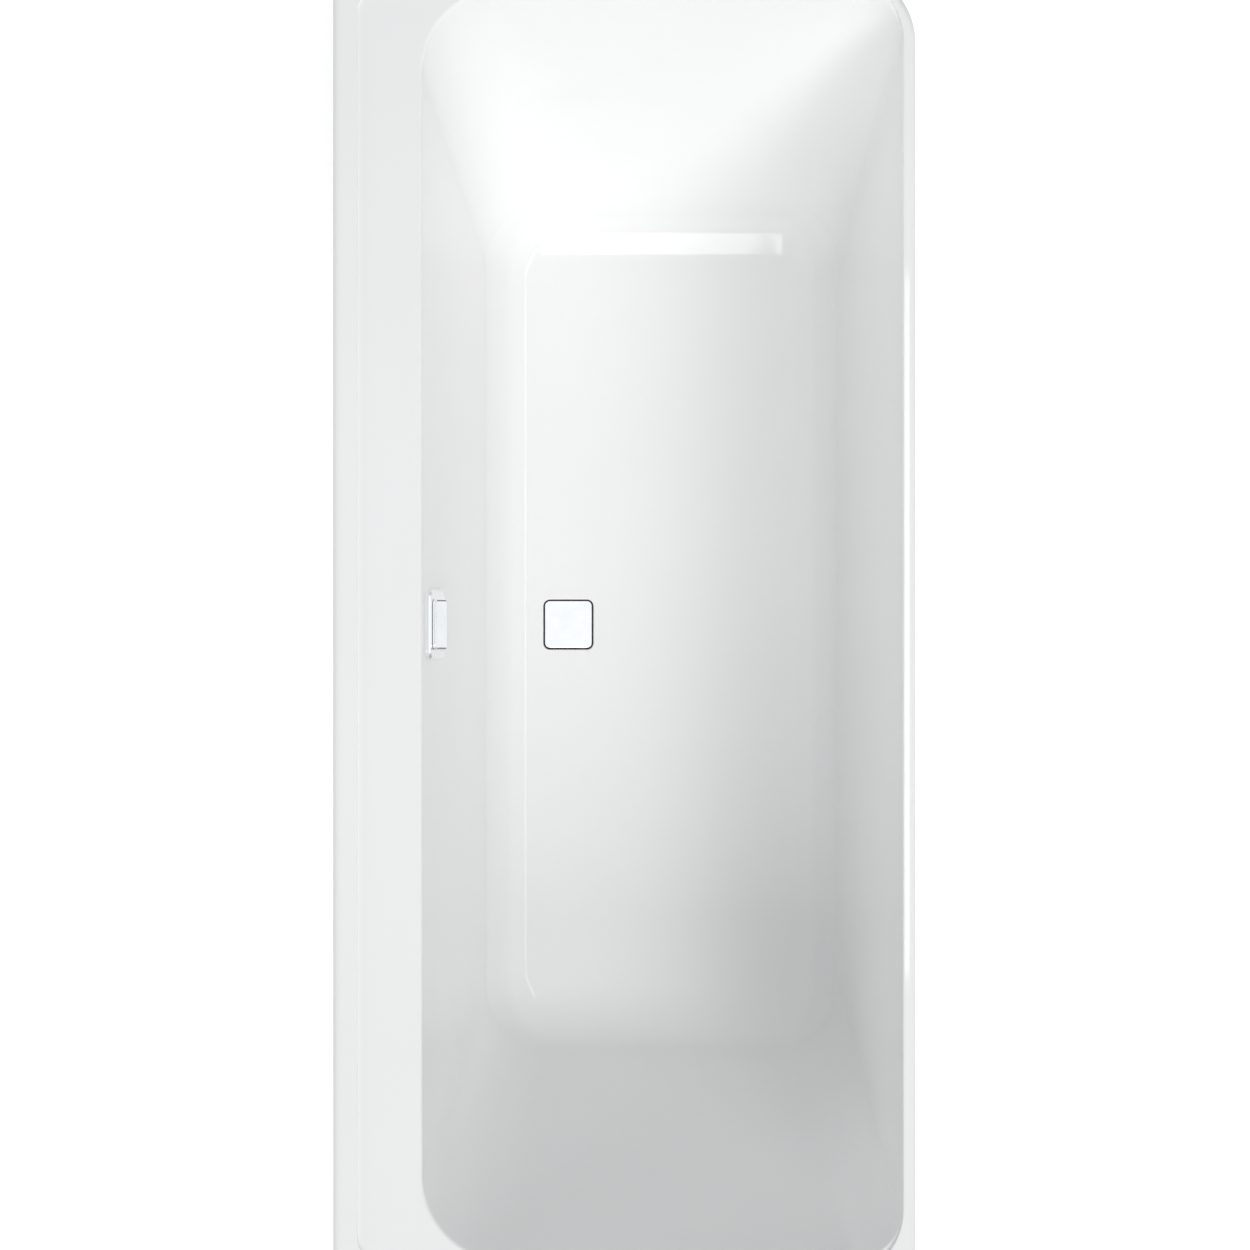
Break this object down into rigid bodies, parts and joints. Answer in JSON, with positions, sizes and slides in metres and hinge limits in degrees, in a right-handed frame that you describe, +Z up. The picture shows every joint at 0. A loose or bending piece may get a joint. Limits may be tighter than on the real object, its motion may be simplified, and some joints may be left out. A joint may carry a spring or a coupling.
{
  "type": "back-to-wall bathtub",
  "caption": "Rectangular acrylic bathtub with one rounded free corner, raised rim edge, apron, square pop-up waste cover and square overflow knob.",
  "frame": {"origin": "on the floor under the centre of the tub's footprint", "axes": "+X along the tub's length towards its free rounded end, +Y towards the long wall, +Z up"},
  "size_m": [1.8, 0.8, 0.6],
  "materials": {
    "acrylic": "white gloss acrylic",
    "apron_acrylic": "white gloss acrylic sheet",
    "batten": "plywood strip",
    "black_rubber": "moulded rubber",
    "board": "sealed chipboard",
    "brass": "turned brass",
    "chrome": "polished chrome",
    "grey_pp": "moulded polypropylene",
    "rail_aluminium": "mill finish",
    "sheath": "plastic covered cable sheath",
    "spring_steel": "spring steel",
    "white_pp": "moulded polypropylene",
    "zinc_steel": "zinc plated steel"
  },
  "bodies": {
    "bath": {"bath_shell": "acrylic", "base_board": "board", "rim_batten_wall": "batten", "rim_batten_head": "batten", "rim_batten_foot": "batten", "apron": "apron_acrylic", "floor_rail_front": "rail_aluminium", "floor_rail_end": "rail_aluminium", "apron_clips": "spring_steel", "cross_rail_head": "zinc_steel", "cross_rail_foot": "zinc_steel", "rail_screws": "zinc_steel", "leg_nuts_upper": "zinc_steel", "leg_nuts_lower": "zinc_steel", "wall_bracket_1": "zinc_steel", "wall_bracket_2": "zinc_steel", "wall_bracket_3": "zinc_steel", "end_brackets": "zinc_steel", "bracket_pads": "black_rubber", "waste_flange": "chrome", "flange_seal": "black_rubber", "waste_body": "white_pp", "waste_body_seal": "black_rubber", "trap_cup": "white_pp", "trap_nut": "white_pp", "trap_seal": "black_rubber", "overflow_base": "chrome", "overflow_screws": "zinc_steel", "overflow_seal": "black_rubber", "overflow_housing": "white_pp", "overflow_hose": "grey_pp", "hose_clamps": "zinc_steel", "cable_sheath": "sheath", "cable_clips": "grey_pp"},
    "knob": {"overflow_knob": "chrome", "knob_spindle": "brass", "cable_drum": "grey_pp"},
    "cover": {"cover_plate": "chrome", "cover_gasket": "black_rubber", "plug_stem": "brass"},
    "lifter": {"lifter_lever": "grey_pp", "lifter_crank": "grey_pp"},
    "wire": {"pull_wire": "zinc_steel"},
    "outlet": {"outlet_bend": "white_pp"},
    "leg_1": {"leg_rod_1": "zinc_steel", "foot_pad_1": "black_rubber"},
    "leg_2": {"leg_rod_2": "zinc_steel", "foot_pad_2": "black_rubber"},
    "leg_3": {"leg_rod_3": "zinc_steel", "foot_pad_3": "black_rubber"},
    "leg_4": {"leg_rod_4": "zinc_steel", "foot_pad_4": "black_rubber"}
  },
  "joints": [
    {"name": "knob_turn", "type": "hinge", "parent": "bath", "child": "knob", "pos_m": [0, 0.26125, 0.514], "axis": [0, -0.9778, 0.2096], "range_deg": [0, 90]},
    {"name": "cover_lift", "type": "slide", "parent": "bath", "child": "cover", "axis": [0, 0, 1], "range_m": [0, 0.00901]},
    {"name": "lifter_swing", "type": "hinge", "parent": "bath", "child": "lifter", "pos_m": [0, 0.0593, 0.0985], "axis": [1, 0, 0], "range_deg": [0, 29]},
    {"name": "wire_pull", "type": "slide", "parent": "bath", "child": "wire", "axis": [0, 1, 0], "range_m": [0, 0.00701]},
    {"name": "outlet_swivel", "type": "hinge", "parent": "bath", "child": "outlet", "pos_m": [-0.05, 0.0773, 0.038], "axis": [1, 0, 0], "range_deg": [-10, 25]},
    {"name": "leg_1_height", "type": "slide", "parent": "bath", "child": "leg_1", "axis": [0, 0, 1], "range_m": [-0.02, 0.02]},
    {"name": "leg_2_height", "type": "slide", "parent": "bath", "child": "leg_2", "axis": [0, 0, 1], "range_m": [-0.02, 0.02]},
    {"name": "leg_3_height", "type": "slide", "parent": "bath", "child": "leg_3", "axis": [0, 0, 1], "range_m": [-0.02, 0.02]},
    {"name": "leg_4_height", "type": "slide", "parent": "bath", "child": "leg_4", "axis": [0, 0, 1], "range_m": [-0.02, 0.02]}
  ],
  "couplings": [
    {"joint": "cover_lift", "follows": "knob_turn", "m_per_rad": 0.0057383},
    {"joint": "lifter_swing", "follows": "knob_turn", "ratio": 0.32222},
    {"joint": "wire_pull", "follows": "knob_turn", "m_per_rad": 0.0044631}
  ]
}
